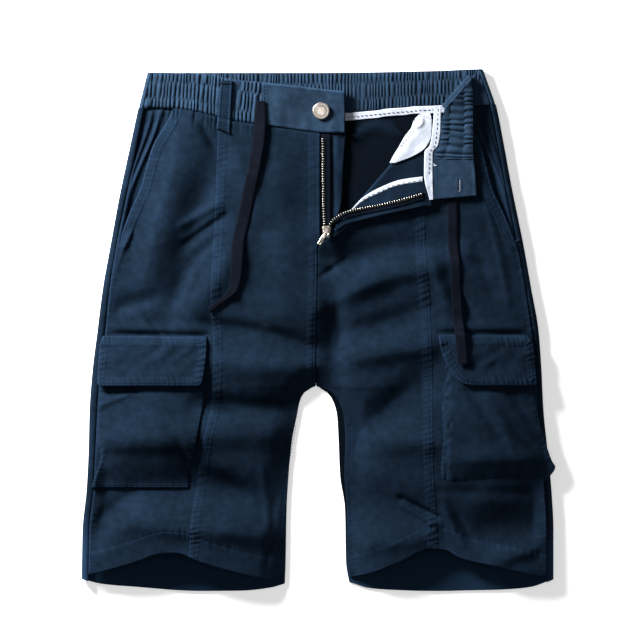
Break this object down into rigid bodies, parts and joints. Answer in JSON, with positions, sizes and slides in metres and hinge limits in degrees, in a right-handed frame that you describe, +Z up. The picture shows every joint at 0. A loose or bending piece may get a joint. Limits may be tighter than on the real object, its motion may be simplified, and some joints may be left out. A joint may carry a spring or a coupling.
{
  "type": "cargo shorts",
  "caption": "Cargo shorts laid flat, fly open and one waist corner folded out, with cargo pockets, drawcord and zip pull.",
  "frame": {"origin": "middle of the bounding box in plan, at the level of the surface that the shorts lie on", "axes": "+Z up from the surface, +Y from the hems to the waist, +X towards the wearer's left side"},
  "size_m": [0.4741, 0.523, 0.029],
  "materials": {
    "twill": "garment-dyed cotton twill, matt",
    "twill_band": "garment-dyed cotton twill, gathered, matt",
    "twill_back": "inside face of cotton twill, matt",
    "white_cotton": "plain white cotton, matt",
    "zip_tape": "woven tape, matt",
    "cord_tape": "flat woven drawcord tape, matt",
    "steel": "plated metal, satin"
  },
  "bodies": {
    "shorts": {"back_right": "twill_back", "back_left": "twill_back", "front_right_inner": "twill", "front_right_side": "twill", "front_left_inner": "twill", "front_left_side": "twill", "pocket_facing_right": "twill", "pocket_facing_left": "twill", "waistband_back": "twill_band", "waistband_side_right": "twill_band", "waistband_front_right": "twill_band", "waistband_side_left": "twill_band", "waistband_front_left": "twill_band", "belt_loop": "twill", "fly_shield": "twill", "zip_tape_right": "zip_tape", "fly_facing": "twill", "zip_tape_left": "zip_tape", "binding_facing": "white_cotton", "pocket_bag": "white_cotton", "binding_side_waist": "white_cotton", "binding_back_waist": "white_cotton", "cargo_bag_right": "twill", "cargo_flap_right": "twill", "cargo_bag_left": "twill", "cargo_flap_left": "twill", "button": "steel", "zip_slider": "steel", "drawcord_right": "cord_tape", "drawcord_left": "cord_tape"},
    "pull_tab": {"zip_pull": "steel"}
  },
  "joints": [
    {"name": "pull_tab_hinge", "type": "hinge", "parent": "shorts", "child": "pull_tab", "pos_m": [0.0075, 0.097, 0.0234], "axis": [-0.8575, 0.5145, 0], "range_deg": [0, 165]}
  ]
}
